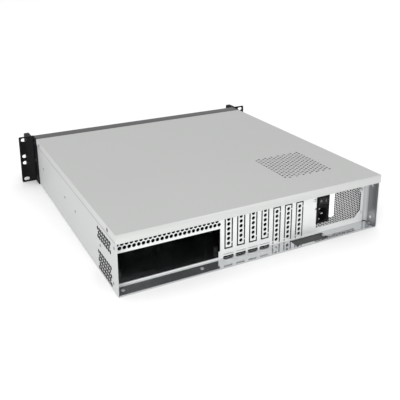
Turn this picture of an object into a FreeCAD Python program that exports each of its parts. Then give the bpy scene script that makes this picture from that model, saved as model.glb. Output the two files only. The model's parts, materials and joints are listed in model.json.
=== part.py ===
# Empty 2U rackmount case seen from its rear. Millimetres, X to the right seen from
# the front, Y to the rear, Z up. The origin lies under the middle of the whole box.
import FreeCAD, Part
import math
import os
import re
import Sketcher
from FreeCAD import Placement, Rotation, Vector

doc = FreeCAD.newDocument("RackCase")
params = doc.addObject("Spreadsheet::Sheet", "Params")

DRIVING = {
    # case
    "bodyWidth": 430.0,
    "caseHeight": 88.0,
    "bodyDepth": 450.0,
    "sheet": 1.0,
    "bendRadius": 1.5,
    "topReturn": 10.0,
    "gap": 0.3,
    # rack front
    "panelWidth": 482.6,
    "slotSpan": 465.1,
    "slotOuter": 76.2,
    "slotInner": 12.7,
    "slotLength": 10.3,
    "slotHeight": 6.8,
    "earSheet": 2.0,
    "earDepth": 24.0,
    "frontSheet": 1.2,
    "frontDepth": 24.2,
    "handleReach": 34.0,
    "handleWide": 10.0,
    "handleBar": 9.0,
    "handleHigh": 84.0,
    "handleRound": 4.0,
    "handleAway": 7.0,
    # lid
    "lidFlange": 11.5,
    "lidCorner": 5.0,
    "ventPitch": 7.0,
    "ventHole": 7.2,
    "lidHole": 6.1,
    "lidPitch": 7.3,
    "lidPairs": 7,
    "lidRows": 13,
    "lidVentX": -161.5,
    "lidVentRear": 57.5,
    "lidScrewFront": 21.0,
    "lidScrewRear": 30.0,
    "lidScrewDown": 6.0,
    # side vents
    "sideVentRear": 25.5,
    "sideVentLow": 6.3,
    "sideVentHigh": 53.4,
    "sideVentCount": 8,
    # rear panel
    "recess": 24.5,
    "panelEdge": 205.6,
    "panelFlange": 22.0,
    "windowWide": 158.2,
    "windowHigh": 44.45,
    "windowLow": 4.3,
    "windowTabWide": 2.5,
    "windowTabHigh": 9.0,
    "rowPitch": 6.63,
    "rowHole": 5.5,
    "rowStart": 2.0,
    "rowLow": 55.2,
    "rowRise": 5.74,
    "rowCount": 24,
    "slotPitch": 20.32,
    "firstSlotX": 40.4,
    "coverHalf": 5.75,
    "cutWide": 2.3,
    "bridgeHigh": 1.2,
    "tallFoot": 15.0,
    "tallTop": 80.0,
    "tallBridge": 23.5,
    "tallCount": 4,
    "shortTop": 61.8,
    "shortFoot": 3.2,
    "shortBridgeHigh": 53.0,
    "shortBridgeLow": 6.5,
    "shortCount": 3,
    "coverHole": 5.6,
    "coverPitch": 7.45,
    "tallHoleLow": 23.1,
    "shortHoleLow": 9.4,
    "tongueHalf": 8.65,
    "tongueFoot": 2.1,
    "tongueTop": 5.0,
    "tongueSlit": 7.1,
    "floorCutLeft": 64.0,
    "floorCutRight": 123.0,
    "floorCutNear": 2.5,
    "floorCutDeep": 17.0,
    "bracketWide": 8.0,
    # power supply
    "psuWide": 100.0,
    "psuHigh": 70.0,
    "psuDeep": 190.0,
    "psuLeft": 103.9,
    "psuUnder": 2.3,
    "psuSheet": 0.8,
    "cutLeft": 113.0,
    "cutRight": 200.0,
    "cutLow": 11.0,
    "cutHigh": 70.5,
    "cutChamfer": 11.5,
    "cutStep": 2.0,
    "cutStepHigh": 52.6,
    "moduleWide": 24.0,
    "moduleLow": 17.6,
    "moduleHigh": 61.8,
    "socketWide": 15.4,
    "socketHigh": 21.4,
    "socketLow": 21.1,
    "socketDeep": 15.0,
    "rockerWide": 19.0,
    "rockerHigh": 11.6,
    "rockerLow": 48.3,
    "labelWide": 10.6,
    "labelLow": 23.0,
    "labelHigh": 42.0,
    "grillePitch": 4.0,
    "grilleHole": 2.4,
    "grilleCount": 12,
    "psuLip": 8.0,
    "moduleProud": 1.5,
    "moduleDeep": 22.0,
    "socketX": 117.0,
    "rockerDeep": 10.0,
    "rockerFit": 0.25,
    "rockerEnd": 0.9,
    "rockerRise": 3.0,
    "rockerBody": 6.0,
    # fans
    "fanSide": 80.0,
    "fanThick": 25.0,
    "fanCount": 3,
    "fanStep": 112.0,
    "fanWallPlace": 150.0,
    "psuFanSide": 60.0,
    "hubWide": 34.0,
    "bladeGap": 1.5,
    "fanWall": 1.6,
    "fanFoot": 12.0,
    "armThick": 3.0,
    "armWide": 4.0,
    "bladeThick": 1.2,
    "bladePitch": 38.0,
    # inside
    "cageWide": 147.0,
    "cageHigh": 78.0,
    "cageDeep": 110.0,
    "standoffHigh": 6.5,
    "standoffWide": 5.5,
    "braceWide": 24.0,
    "braceHigh": 6.0,
    "braceBack": 300.0,
    # front controls
    "bayWide": 149.0,
    "bayHigh": 42.3,
    "buttonWide": 12.0,
    "resetWide": 5.0,
    "buttonTravel": 1.5,
    "buttonFit": 0.2,
    "buttonProud": 1.6,
    "boardBack": 8.0,
    "boardWide": 40.0,
    "screwWide": 6.0,
    "screwHigh": 1.6,
    "flatHead": 0.7,
    "controlX": 178.0,
    "controlZ": 66.0,
    "resetZ": 46.0,
    "lightSpread": 10.0,
    "lightWide": 4.0,
    "portWide": 14.0,
    "portHigh": 6.6,
    "portSpread": 11.0,
    "portZ": 24.0,
    "bayLeft": -22.0,
    "bayLow": 38.0,
    "intakeLeft": 60.0,
    "intakeLong": 74.0,
    "intakeBar": 6.0,
    "intakeLow": 14.0,
    "intakeHigh": 4.0,
    "intakePitch": 8.0,
    "intakeRows": 8,
}

DERIVED = {
    "earPlane": "(handleReach-bodyDepth)/2",
    "rearEdge": "(bodyDepth+handleReach)/2",
    "halfBody": "bodyWidth/2",
    "halfTray": "bodyWidth/2-sheet",
    "halfInside": "bodyWidth/2-2*sheet",
    "trayTop": "caseHeight-sheet",
    "lidUnder": "caseHeight-lidFlange",
    "lidFront": "earPlane+frontDepth+gap",
    "panelBack": "rearEdge-recess",
    "panelFront": "panelBack-sheet",
    "windowLeft": "halfInside-sheet",
    "windowRight": "windowLeft-windowWide",
    "windowTop": "windowLow+windowHigh",
    "ventRow": "ventPitch*0.8660254",
    "psuRight": "psuLeft+psuWide",
    "psuTop": "psuUnder+psuHigh",
    "psuFront": "panelFront-psuDeep",
    "moduleRight": "cutLeft+moduleWide",
    "moduleMid": "cutLeft+moduleWide/2",
    "rockerMid": "rockerLow+rockerHigh/2",
    "lidRow": "lidPitch*0.8660254",
    "fanWallTop": "trayTop-sheet",
    "bracePlace": "earPlane+braceBack",
    "braceTop": "trayTop-sheet",
    "fanPlane": "earPlane+fanWallPlace",
    "fanFloor": "sheet+3",
    "fanMid": "fanFloor+fanSide/2",
    "psuFanX": "cutRight-psuFanSide/2",
    "psuFanZ": "psuUnder+psuSheet+2+psuFanSide/2",
}

row = 0
for alias, number in DRIVING.items():
    row += 1
    params.set("A%d" % row, alias)
    params.set("B%d" % row, str(number))
    params.setAlias("B%d" % row, alias)
for alias, formula in DERIVED.items():
    row += 1
    params.set("A%d" % row, alias)
    params.set("B%d" % row, "=" + formula)
    params.setAlias("B%d" % row, alias)
doc.recompute()

ALIASES = set(DRIVING) | set(DERIVED)


def bound(text):
    """The text as an expression that names the spreadsheet."""
    return re.sub(r"[A-Za-z]\w*", lambda m: "Params." + m[0] if m[0] in ALIASES else m[0], str(text))


def value(text):
    """The number that an expression gives now."""
    found = params.evalExpression(bound(text))
    return float(getattr(found, "Value", found))


def newBody(label, x="0", y="0", z="0"):
    body = doc.addObject("PartDesign::Body", label)
    body.Label = label
    for axis, place in zip("xyz", (x, y, z)):
        body.setExpression("Placement.Base." + axis, bound(place))
    return body


roundSides = 12
ventSides = 4
PLANES = {"XY": ("XY_Plane", 1), "XZ": ("XZ_Plane", -1), "YZ": ("YZ_Plane", 1)}


def newSketch(body, name, plane, at):
    """A sketch on the body's own origin plane, moved to the coordinate at."""
    role, sign = PLANES[plane]
    sketch = body.newObject("Sketcher::SketchObject", name)
    feature = [f for f in body.Origin.OriginFeatures if f.Role == role][0]
    sketch.AttachmentSupport = [(feature, "")]
    sketch.MapMode = "FlatFace"
    sketch.setExpression("AttachmentOffset.Base.z", bound("%d*(%s)" % (sign, at)))
    return sketch


def outline(sketch, points):
    """A closed outline whose corners are placed by expressions."""
    spots = [Vector(value(u), value(v), 0) for u, v in points]
    first = sketch.GeometryCount
    count = len(spots)
    for i in range(count):
        sketch.addGeometry(Part.LineSegment(spots[i], spots[(i + 1) % count]), False)
    for i in range(count):
        sketch.addConstraint(Sketcher.Constraint("Coincident", first + i, 2, first + (i + 1) % count, 1))
    for i, (u, v) in enumerate(points):
        for kind, text, number in (("DistanceX", u, spots[i].x), ("DistanceY", v, spots[i].y)):
            index = sketch.addConstraint(Sketcher.Constraint(kind, -1, 1, first + i, 1, number))
            sketch.setExpression("Constraints[%d]" % index, bound(text))


def frame(sketch, u0, v0, u1, v1):
    outline(sketch, [(u0, v0), (u1, v0), (u1, v1), (u0, v1)])


def ring(sketch, u, v, wide, sides, turn=0.0):
    """A regular outline; wide is the distance across its corners."""
    step = 360.0 / sides
    outline(sketch, [("%s+(%s)/2*cos(%g)" % (u, wide, turn + step * i),
                      "%s+(%s)/2*sin(%g)" % (v, wide, turn + step * i)) for i in range(sides)])


def slotOutline(sketch, u, v, long, high):
    """A slot lying along U with half-round ends."""
    cu, cv, half, r = value(u), value(v), (value(long) - value(high)) / 2, value(high) / 2
    a, b = Vector(cu - half, cv, 0), Vector(cu + half, cv, 0)
    up = Vector(0, r, 0)
    first = sketch.addGeometry(Part.LineSegment(a + up, b + up), False)
    sketch.addGeometry(Part.ArcOfCircle(Part.Circle(b, Vector(0, 0, 1), r), -1.5707963, 1.5707963), False)
    sketch.addGeometry(Part.LineSegment(b - up, a - up), False)
    sketch.addGeometry(Part.ArcOfCircle(Part.Circle(a, Vector(0, 0, 1), r), 1.5707963, 4.7123889), False)
    add = sketch.addConstraint
    add(Sketcher.Constraint("Tangent", first, 2, first + 1, 2))
    add(Sketcher.Constraint("Tangent", first + 1, 1, first + 2, 1))
    add(Sketcher.Constraint("Tangent", first + 2, 2, first + 3, 2))
    add(Sketcher.Constraint("Tangent", first + 3, 1, first, 1))
    add(Sketcher.Constraint("Equal", first + 1, first + 3))
    for kind, geo, text in (("DistanceX", first + 1, "%s+(%s-%s)/2" % (u, long, high)),
                            ("DistanceX", first + 3, "%s-(%s-%s)/2" % (u, long, high)),
                            ("DistanceY", first + 1, v), ("DistanceY", first + 3, v)):
        at = add(Sketcher.Constraint(kind, -1, 1, geo, 3, value(text)))
        sketch.setExpression("Constraints[%d]" % at, bound(text))
    at = add(Sketcher.Constraint("Radius", first + 1, r))
    sketch.setExpression("Constraints[%d]" % at, bound("%s/2" % high))


def pad(body, sketch, length):
    feature = body.newObject("PartDesign::Pad", sketch.Name + "Pad")
    feature.Profile = sketch
    feature.Refine = False
    feature.setExpression("Length", bound(length))
    sketch.Visibility = False
    doc.recompute()
    return feature


def pocket(body, sketch, depth):
    feature = body.newObject("PartDesign::Pocket", sketch.Name + "Pocket")
    feature.Profile = sketch
    feature.Refine = False
    feature.setExpression("Length", bound(depth))
    sketch.Visibility = False
    doc.recompute()
    return feature


def pattern(body, cut, directions):
    """Repeats a feature along its sketch's axes: (axis name, pitch, count) for each."""
    sketch = cut.Profile[0]
    many = body.newObject("PartDesign::MultiTransform", cut.Name + "Many")
    many.Originals = [cut]
    many.Refine = False
    steps = []
    for axis, pitch, count in directions:
        line = body.newObject("PartDesign::LinearPattern", "%s%s" % (cut.Name, axis[0]))
        line.Direction = (sketch, [axis])
        line.Reversed = pitch.startswith("-")
        line.setExpression("Length", bound("%s*(%s-1)" % (pitch.lstrip("-"), count)))
        line.setExpression("Occurrences", bound(count))
        steps.append(line)
    many.Transformations = steps
    body.Tip = many
    doc.recompute()
    return many


def rounded(body, radius, wanted):
    """Rounds the edges of the body's shape that the test picks."""
    base = body.Tip
    names = ["Edge%d" % (i + 1) for i, edge in enumerate(base.Shape.Edges) if wanted(edge)]
    feature = body.newObject("PartDesign::Fillet", body.Name + "Round%d" % len(body.Group))
    feature.Base = (base, names)
    feature.setExpression("Radius", bound(radius))
    doc.recompute()
    return feature


def along(axis, **places):
    """A test for straight edges along an axis at the given coordinates."""
    wanted = {name: [value(text) for text in texts] for name, texts in places.items()}

    def test(edge):
        ends = [v.Point for v in edge.Vertexes]
        if len(ends) != 2 or not isinstance(edge.Curve, Part.Line):
            return False
        way = ends[1] - ends[0]
        if abs(getattr(way, axis)) < 0.999 * way.Length:
            return False
        middle = (ends[0] + ends[1]) * 0.5
        return all(any(abs(getattr(middle, name) - place) < 0.01 for place in spots)
                   for name, spots in wanted.items())
    return test


def cutRounds(body, name, plane, at, depth, spots, wide):
    sketch = newSketch(body, name, plane, at)
    for u, v in spots:
        ring(sketch, u, v, wide, roundSides)
    return pocket(body, sketch, depth)


def vents(body, name, plane, at, depth, u, v, rows, columns):
    """Two interleaved grids of vent holes; close rows run along the sketch's U."""
    for part, shift, fewer in (("Even", "0", "0"), ("Odd", "ventPitch/2", "1")):
        sketch = newSketch(body, name + part, plane, at)
        ring(sketch, "%s+%s" % (u, shift), "%s+%s*ventRow" % (v, fewer), "ventHole", ventSides, 45)
        cut = pocket(body, sketch, depth)
        pattern(body, cut, [("H_Axis", "ventPitch", "%s-%s" % (rows, fewer)),
                            ("V_Axis", "2*ventRow", "%s-%s" % (columns, fewer))])


# Case tray: floor, side walls and inward top returns folded from one sheet
tray = newBody("chassis_tray")
section = newSketch(tray, "TraySection", "XZ", "rearEdge-sheet-gap")
outline(section, [("-halfTray", "0"), ("halfTray", "0"), ("halfTray", "trayTop"),
                  ("halfTray-topReturn", "trayTop"), ("halfTray-topReturn", "trayTop-sheet"),
                  ("halfInside", "trayTop-sheet"), ("halfInside", "sheet"), ("-halfInside", "sheet"),
                  ("-halfInside", "trayTop-sheet"), ("topReturn-halfTray", "trayTop-sheet"),
                  ("topReturn-halfTray", "trayTop"), ("-halfTray", "trayTop")])
pad(tray, section, "rearEdge-sheet-gap-earPlane-gap")
rounded(tray, "bendRadius", along("y", x=["halfTray", "-halfTray"], z=["0", "trayTop"]))
notch = newSketch(tray, "ReturnNotch", "XY", "caseHeight")
frame(notch, "-halfInside", "panelFront-gap", "halfInside", "rearEdge")
pocket(tray, notch, "2.5*sheet")
floorCut = newSketch(tray, "FloorCut", "XY", "2*sheet")
frame(floorCut, "-floorCutRight", "panelBack+floorCutNear", "-floorCutLeft", "panelBack+floorCutNear+floorCutDeep")
pocket(tray, floorCut, "3*sheet")
ventEdge = "rearEdge-sideVentRear-ventPitch*(sideVentCount-1)"
vents(tray, "LowVent", "YZ", "halfBody", "4*sheet", ventEdge, "sideVentLow", "sideVentCount", "3")
vents(tray, "HighVent", "YZ", "halfBody", "4*sheet", ventEdge, "sideVentHigh", "sideVentCount", "2")

# Lid with side flanges, a rear flange and a vent of staggered holes over the power supply
lid = newBody("top_cover")
section = newSketch(lid, "LidSection", "XZ", "rearEdge")
outline(section, [("-halfBody", "lidUnder"), ("-halfTray", "lidUnder"), ("-halfTray", "trayTop"),
                  ("halfTray", "trayTop"), ("halfTray", "lidUnder"), ("halfBody", "lidUnder"),
                  ("halfBody", "caseHeight"), ("-halfBody", "caseHeight")])
pad(lid, section, "rearEdge-lidFront")
rearFlange = newSketch(lid, "LidRear", "XZ", "rearEdge")
frame(rearFlange, "-halfBody", "lidUnder", "halfBody", "caseHeight")
pad(lid, rearFlange, "sheet")
rounded(lid, "bendRadius/2", along("y", x=["halfBody", "-halfBody"], z=["caseHeight"]))
rounded(lid, "lidCorner", along("x", y=["lidFront"], z=["lidUnder"]))
for part, column, shift, fewer in (("Even", "0", "0", "0"), ("Odd", "lidRow", "lidPitch/2", "1")):
    sketch = newSketch(lid, "LidVent" + part, "XY", "caseHeight+sheet")
    ring(sketch, "lidVentX+" + column, "rearEdge-lidVentRear-lidPitch*(lidRows-1)+" + shift, "lidHole", ventSides, 45)
    cut = pocket(lid, sketch, "3*sheet")
    pattern(lid, cut, [("H_Axis", "2*lidRow", "lidPairs"), ("V_Axis", "lidPitch", "lidRows-" + fewer)])

# Rear panel: plate, rearward floor flange, wall flange and forward top flange
panel = newBody("rear_panel")
section = newSketch(panel, "PanelSection", "YZ", "-panelEdge")
outline(section, [("panelFront", "sheet"), ("rearEdge-sheet-2*gap", "sheet"), ("rearEdge-sheet-2*gap", "2*sheet"),
                  ("panelBack", "2*sheet"), ("panelBack", "trayTop"), ("panelFront-topReturn", "trayTop"),
                  ("panelFront-topReturn", "trayTop-sheet"), ("panelFront", "trayTop-sheet")])
pad(panel, section, "panelEdge+halfInside-sheet")
wallFlange = newSketch(panel, "WallFlange", "XZ", "panelBack+panelFlange-sheet")
frame(wallFlange, "halfInside-sheet", "2*sheet+gap", "halfInside", "trayTop-sheet")
pad(panel, wallFlange, "panelFlange")
rounded(panel, "sheet*0.9", along("x", y=["panelFront"], z=["sheet"]))
returnCut = newSketch(panel, "ReturnCut", "XY", "caseHeight")
frame(returnCut, "halfTray-topReturn-gap", "panelFront-2*topReturn", "halfTray", "panelFront")
frame(returnCut, "-halfTray", "panelFront-2*topReturn", "topReturn-halfTray+gap", "panelFront")
pocket(panel, returnCut, "3*sheet")

window = newSketch(panel, "BoardWindow", "XZ", "panelFront-sheet")
outline(window, [("windowRight+windowTabWide", "windowLow"), ("windowLeft", "windowLow"), ("windowLeft", "windowTop"),
                 ("windowRight", "windowTop"), ("windowRight", "windowLow+windowTabHigh"),
                 ("windowRight+windowTabWide", "windowLow+windowTabHigh")])
pocket(panel, window, "3*sheet")

supplyCut = newSketch(panel, "SupplyCut", "XZ", "panelFront-sheet")
outline(supplyCut, [("-cutLeft", "cutLow"), ("-cutLeft", "moduleHigh-20.5"), ("3-cutLeft", "moduleHigh-20.5"),
                    ("3-cutLeft", "moduleHigh-17.5"), ("-cutLeft", "moduleHigh-17.5"), ("-cutLeft", "cutHigh"),
                    ("cutStep-cutRight", "cutHigh"), ("cutStep-cutRight", "cutStepHigh"),
                    ("-cutRight", "cutStepHigh"), ("-cutRight", "cutLow+cutChamfer"),
                    ("cutChamfer-cutRight", "cutLow")])
pocket(panel, supplyCut, "3*sheet")
flangeCut = newSketch(panel, "FlangeCut", "XY", "3*sheet")
frame(flangeCut, "-floorCutRight", "panelBack+floorCutNear", "-floorCutLeft", "panelBack+floorCutNear+floorCutDeep")
pocket(panel, flangeCut, "3*sheet")

for part, shift, rise, fewer in (("Low", "0", "0", "0"), ("High", "rowPitch/2", "rowRise", "1")):
    sketch = newSketch(panel, "RowHole" + part, "XZ", "panelFront-sheet")
    ring(sketch, "windowRight+rowStart+%s" % shift, "rowLow+%s" % rise, "rowHole", ventSides, 45)
    cut = pocket(panel, sketch, "3*sheet")
    pattern(panel, cut, [("H_Axis", "rowPitch", "rowCount-%s" % fewer)])

shortX = "(firstSlotX-slotPitch*tallCount)"
for part, x, low, slots in (("Tall", "firstSlotX", "tallHoleLow", "tallCount"),
                            ("Short", shortX, "shortHoleLow", "shortCount")):
    sketch = newSketch(panel, "CoverHole" + part, "XZ", "panelFront-sheet")
    ring(sketch, x, low, "coverHole", ventSides, 45)
    cut = pocket(panel, sketch, "3*sheet")
    pattern(panel, cut, [("V_Axis", "coverPitch", "7"), ("H_Axis", "-slotPitch", slots)])

tall = newSketch(panel, "TallCover", "XZ", "panelFront-sheet")
outerLeft, outerRight = "firstSlotX+coverHalf+cutWide/2", "firstSlotX-coverHalf-cutWide/2"
innerLeft, innerRight = "firstSlotX+coverHalf-cutWide/2", "firstSlotX-coverHalf+cutWide/2"
frame(tall, outerRight, "tallBridge+bridgeHigh/2", innerRight, "tallTop")
outline(tall, [(outerRight, "tallFoot"), (outerLeft, "tallFoot"), (outerLeft, "tallTop"), (innerLeft, "tallTop"),
               (innerLeft, "tallFoot+cutWide"), (innerRight, "tallFoot+cutWide"),
               (innerRight, "tallBridge-bridgeHigh/2"), (outerRight, "tallBridge-bridgeHigh/2")])
cut = pocket(panel, tall, "3*sheet")
pattern(panel, cut, [("H_Axis", "-slotPitch", "tallCount")])

tongue = newSketch(panel, "TongueGap", "XZ", "panelFront-sheet")
outline(tongue, [("firstSlotX-tongueHalf", "tongueFoot"), ("firstSlotX+tongueHalf", "tongueFoot"),
                 ("firstSlotX+tongueHalf", "tongueTop-1"), ("firstSlotX+tongueHalf*0.6", "tongueTop"),
                 ("firstSlotX-tongueHalf*0.6", "tongueTop"), ("firstSlotX-tongueHalf", "tongueTop-1")])
frame(tongue, "firstSlotX-tongueHalf", "tongueSlit", "firstSlotX+tongueHalf", "tongueSlit+0.7")
cut = pocket(panel, tongue, "3*sheet")
pattern(panel, cut, [("H_Axis", "-slotPitch", "tallCount")])

short = newSketch(panel, "ShortCover", "XZ", "panelFront-sheet")
outerLeft, outerRight = shortX + "+coverHalf+cutWide/2", shortX + "-coverHalf-cutWide/2"
innerLeft, innerRight = shortX + "+coverHalf-cutWide/2", shortX + "-coverHalf+cutWide/2"
outline(short, [(outerRight, "shortBridgeHigh+bridgeHigh/2"), (innerRight, "shortBridgeHigh+bridgeHigh/2"),
                (innerRight, "shortTop-cutWide"), (innerLeft, "shortTop-cutWide"),
                (innerLeft, "shortBridgeLow+bridgeHigh/2"), (outerLeft, "shortBridgeLow+bridgeHigh/2"),
                (outerLeft, "shortTop"), (outerRight, "shortTop")])
frame(short, outerRight, "shortFoot", innerRight, "shortBridgeHigh-bridgeHigh/2")
frame(short, innerLeft, "shortFoot", outerLeft, "shortBridgeLow-bridgeHigh/2")
cut = pocket(panel, short, "3*sheet")
pattern(panel, cut, [("H_Axis", "-slotPitch", "shortCount")])

# Wall bracket beside the power supply, riveted to the wall and reaching behind the panel
bracket = newBody("wall_bracket")
section = newSketch(bracket, "BracketSection", "XY", "2*sheet")
outline(section, [("-halfInside", "panelFront-sheet"), ("bracketWide-halfInside", "panelFront-sheet"),
                  ("bracketWide-halfInside", "panelFront"), ("sheet-halfInside", "panelFront"),
                  ("sheet-halfInside", "panelBack+panelFlange"), ("-halfInside", "panelBack+panelFlange")])
pad(bracket, section, "trayTop-4*sheet")
rounded(bracket, "sheet*0.9", along("z", x=["-halfInside"], y=["panelFront-sheet"]))

# Front panel folded back over the tray on all four sides
front = newBody("front_panel")
section = newSketch(front, "FrontSection", "YZ", "-halfInside")
outline(section, [("earPlane-frontSheet", "sheet"), ("earPlane+frontDepth", "sheet"),
                  ("earPlane+frontDepth", "2*sheet"), ("earPlane", "2*sheet"), ("earPlane", "trayTop"),
                  ("earPlane+frontDepth", "trayTop"), ("earPlane+frontDepth", "caseHeight"),
                  ("earPlane-frontSheet", "caseHeight")])
pad(front, section, "2*halfInside")
faceSketch = newSketch(front, "FrontFace", "XZ", "earPlane")
frame(faceSketch, "-halfTray", "0", "halfTray", "caseHeight")
pad(front, faceSketch, "frontSheet")
topSketch = newSketch(front, "FrontTop", "XY", "trayTop")
frame(topSketch, "-halfTray", "earPlane-frontSheet", "halfTray", "earPlane+frontDepth")
pad(front, topSketch, "sheet")
rounded(front, "bendRadius/2", along("x", y=["earPlane-frontSheet"], z=["caseHeight", "0"]))
faceCut = "earPlane-2*frontSheet"
bay = newSketch(front, "BayOpening", "XZ", faceCut)
frame(bay, "bayLeft-bayWide", "bayLow", "bayLeft", "bayLow+bayHigh")
pocket(front, bay, "3*frontSheet")
grille = newSketch(front, "IntakeSlot", "XZ", faceCut)
frame(grille, "intakeLeft-intakeLong", "intakeLow", "intakeLeft", "intakeLow+intakeHigh")
cut = pocket(front, grille, "3*frontSheet")
pattern(front, cut, [("V_Axis", "intakePitch", "intakeRows"), ("H_Axis", "intakeLong+intakeBar", "2")])
cutRounds(front, "ButtonHole", "XZ", faceCut, "3*frontSheet", [("controlX", "controlZ")], "buttonWide+2*buttonFit")
cutRounds(front, "ResetHole", "XZ", faceCut, "3*frontSheet", [("controlX", "resetZ")], "resetWide+2*buttonFit")
cutRounds(front, "LightHoles", "XZ", faceCut, "3*frontSheet",
           [("controlX-lightSpread", "resetZ"), ("controlX+lightSpread", "resetZ")], "lightWide")
ports = newSketch(front, "PortOpenings", "XZ", faceCut)
for side in ("-", "+"):
    middle = "controlX%sportSpread" % side
    frame(ports, middle + "-portWide/2", "portZ-portHigh/2", middle + "+portWide/2", "portZ+portHigh/2")
pocket(front, ports, "3*frontSheet")

# Rack ears: mounting plate and side flange in one, with four slots each
for side, sign in (("left", ""), ("right", "-")):
    ear = newBody("rack_ear_" + side)
    section = newSketch(ear, "EarSection" + side, "XY", "0")
    outline(section, [("%s(panelWidth/2)" % sign, "earPlane-earSheet"), ("%shalfTray" % sign, "earPlane-earSheet"),
                      ("%shalfTray" % sign, "earPlane+earDepth"),
                      ("%s(halfTray+earSheet)" % sign, "earPlane+earDepth"),
                      ("%s(halfTray+earSheet)" % sign, "earPlane"), ("%s(panelWidth/2)" % sign, "earPlane")])
    pad(ear, section, "caseHeight")
    rounded(ear, "earSheet*0.8", along("z", x=["%shalfTray" % sign], y=["earPlane-earSheet"]))
    rounded(ear, "2", along("y", x=["%s(panelWidth/2)" % sign], z=["0", "caseHeight"]))
    slots = newSketch(ear, "EarSlots" + side, "XZ", "earPlane-2*earSheet")
    for height in ("slotOuter", "slotInner"):
        for way in ("-", "+"):
            slotOutline(slots, "%sslotSpan/2" % sign, "caseHeight/2%s%s/2" % (way, height),
                        "slotLength", "slotHeight")
    pocket(ear, slots, "3*earSheet")

# Handles: one bent bar in front of each ear
for side, sign in (("left", ""), ("right", "-")):
    handle = newBody("handle_" + side, "%s(halfTray+handleAway)" % sign)
    section = newSketch(handle, "HandleSection" + side, "YZ", "-handleWide/2")
    low, high = "(caseHeight-handleHigh)/2", "(caseHeight+handleHigh)/2"
    root, tip = "earPlane-earSheet", "earPlane-handleReach"
    outline(section, [(root, low), (root, low + "+handleBar"), (tip + "+handleBar", low + "+handleBar"),
                      (tip + "+handleBar", high + "-handleBar"), (root, high + "-handleBar"), (root, high),
                      (tip, high), (tip, low)])
    pad(handle, section, "handleWide")
    rounded(handle, "handleRound", along("x", y=[tip], z=[low, high]))

# Fan wall across the case with a foot and a top return
wall = newBody("fan_wall")
section = newSketch(wall, "WallSection", "YZ", "gap-halfInside")
outline(section, [("fanPlane-sheet-fanFoot", "sheet"), ("fanPlane", "sheet"), ("fanPlane", "fanWallTop"),
                  ("fanPlane-sheet-fanFoot", "fanWallTop"), ("fanPlane-sheet-fanFoot", "fanWallTop-sheet"),
                  ("fanPlane-sheet", "fanWallTop-sheet"), ("fanPlane-sheet", "2*sheet"),
                  ("fanPlane-sheet-fanFoot", "2*sheet")])
pad(wall, section, "2*(halfInside-gap)")
fanPlaces = ["fanStep*(%d-(fanCount-1)/2)" % i for i in range(int(value("fanCount")))]
holes = newSketch(wall, "FanHoles", "XZ", "fanPlane-2*sheet")
for x in fanPlaces:
    ring(holes, x, "fanMid", "(fanSide-2*fanWall)", 16, 11.25)
pocket(wall, holes, "3*sheet")


def fanFrame(label, side, x, y, z, hub):
    """A square fan housing, open along Y, its motor seat carried by four arms; y is its rear face."""
    housing = newBody(label, x, y, z)
    section = newSketch(housing, label + "Section", "XZ", "0")
    frame(section, "-%s/2" % side, "-%s/2" % side, "%s/2" % side, "%s/2" % side)
    pad(housing, section, "fanThick")
    bore = newSketch(housing, label + "Bore", "XZ", "-fanThick-1")
    ring(bore, "0", "0", "(%s-2*fanWall)" % side, 16, 11.25)
    pocket(housing, bore, "fanThick+2")
    arms = newSketch(housing, label + "Arms", "XZ", "0")
    ring(arms, "0", "0", hub, 12)
    pad(housing, arms, "armThick")
    for turn, name in ((0, "Flat"), (90, "Upright")):
        arm = newSketch(housing, label + name, "XZ", "0")
        reach = "(%s/2-fanWall/2)" % side
        if turn:
            frame(arm, "-armWide/2", "-" + reach, "armWide/2", reach)
        else:
            frame(arm, "-" + reach, "-armWide/2", reach, "armWide/2")
        pad(housing, arm, "armThick")
    return housing


def impeller(label, side, x, y, z, hub, blades):
    """A hub with pitched blades that turns about Y; y is the rear face of its fan."""
    rotor = doc.addObject("Part::Feature", label)
    tip = (value(side) / 2 - value("fanWall")) * math.cos(math.pi / 16) - value("bladeGap")
    core = value(hub) / 2
    back = -value("armThick") - value("bladeGap") / 2
    deep = value("fanThick") + back - value("bladeGap")
    thick = value("bladeThick")

    half = math.tan(math.radians(value("bladePitch"))) * deep / 2
    corners = [(-half - thick / 2, back), (-half + thick / 2, back),
               (half + thick / 2, back - deep), (half - thick / 2, back - deep)]
    root = Part.Face(Part.makePolygon([Vector(u, w, core * 0.9) for u, w in corners + corners[:1]]))
    blade = root.extrude(Vector(0, 0, tip - core * 0.9))
    rim = [Vector(core * math.cos(math.tau * i / 12), back, core * math.sin(math.tau * i / 12)) for i in range(13)]
    shape = Part.Face(Part.makePolygon(rim)).extrude(Vector(0, -deep, 0))
    for i in range(blades):
        turned = blade.copy()
        turned.rotate(Vector(0, 0, 0), Vector(0, 1, 0), 360.0 * i / blades)
        shape = shape.fuse(turned)
    rotor.Shape = shape
    rotor.Label = label
    for axis, place in zip("xyz", (x, y, z)):
        rotor.setExpression("Placement.Base." + axis, bound(place))
    return rotor


for number, x in enumerate(fanPlaces, 1):
    fanFrame("fan_frame_%d" % number, "fanSide", x, "fanPlane+fanThick", "fanMid", "hubWide")
    impeller("impeller_%d" % number, "fanSide", x, "fanPlane+fanThick", "fanMid", "hubWide", 5)

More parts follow.
